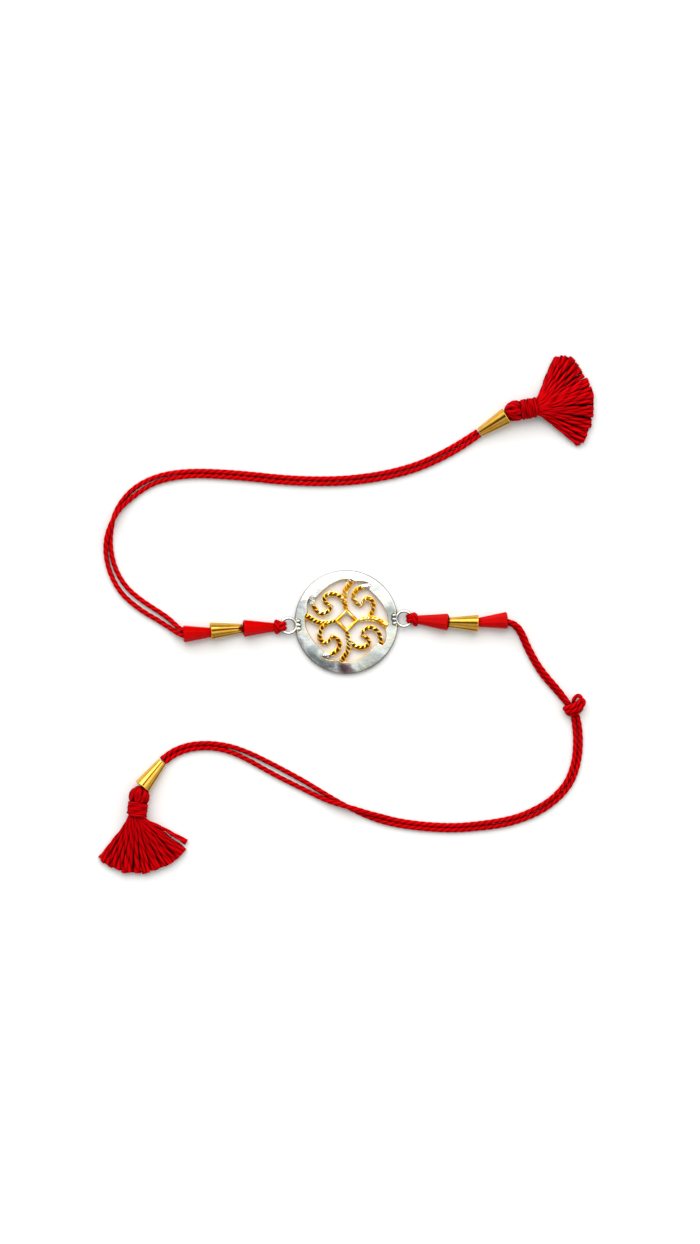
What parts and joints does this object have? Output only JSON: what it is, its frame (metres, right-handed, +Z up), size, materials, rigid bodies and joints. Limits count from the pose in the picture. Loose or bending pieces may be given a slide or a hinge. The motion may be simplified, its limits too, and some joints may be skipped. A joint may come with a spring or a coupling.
{
  "type": "rakhi thread bracelet",
  "caption": "Tie-on thread bracelet: a pierced round medallion between tapered beads, with red cords, a knot and tasselled ends",
  "frame": {"origin": "on the surface under the medallion's centre; the beads either side balance it, so it is the bottom centre of all but the cords and their ends", "axes": "+X runs from the left row of beads to the right row, +Y to the upper tassel in the picture, +Z up off the surface"},
  "size_m": [0.1168, 0.1224, 0.0047],
  "materials": {
    "silver_plate": "polished silver plating, lightly hammered",
    "gold_plate": "polished gold plating, diamond cut",
    "red_bead": "glossy moulded acrylic",
    "red_thread": "twisted polyester thread, silky",
    "tassel_yarn": "twisted polyester yarn, silky"
  },
  "bodies": {
    "root": {"medallion": "silver_plate", "left_inner_cone": "red_bead", "left_gold_cone": "gold_plate", "left_outer_cone": "red_bead", "right_inner_cone": "red_bead", "right_gold_cone": "gold_plate", "right_outer_cone": "red_bead", "left_bead_thread": "red_thread", "right_bead_thread": "red_thread", "left_cord_a": "red_thread", "left_cord_b": "red_thread", "right_cord_a_upper": "red_thread", "right_cord_b_upper": "red_thread", "right_cord_a_lower": "red_thread", "right_cord_b_lower": "red_thread", "cord_knot": "red_thread", "upper_end_cone": "gold_plate", "lower_end_cone": "gold_plate", "upper_tassel": "tassel_yarn", "lower_tassel": "tassel_yarn", "upper_tassel_wrap": "tassel_yarn", "lower_tassel_wrap": "tassel_yarn"}
  },
  "joints": []
}
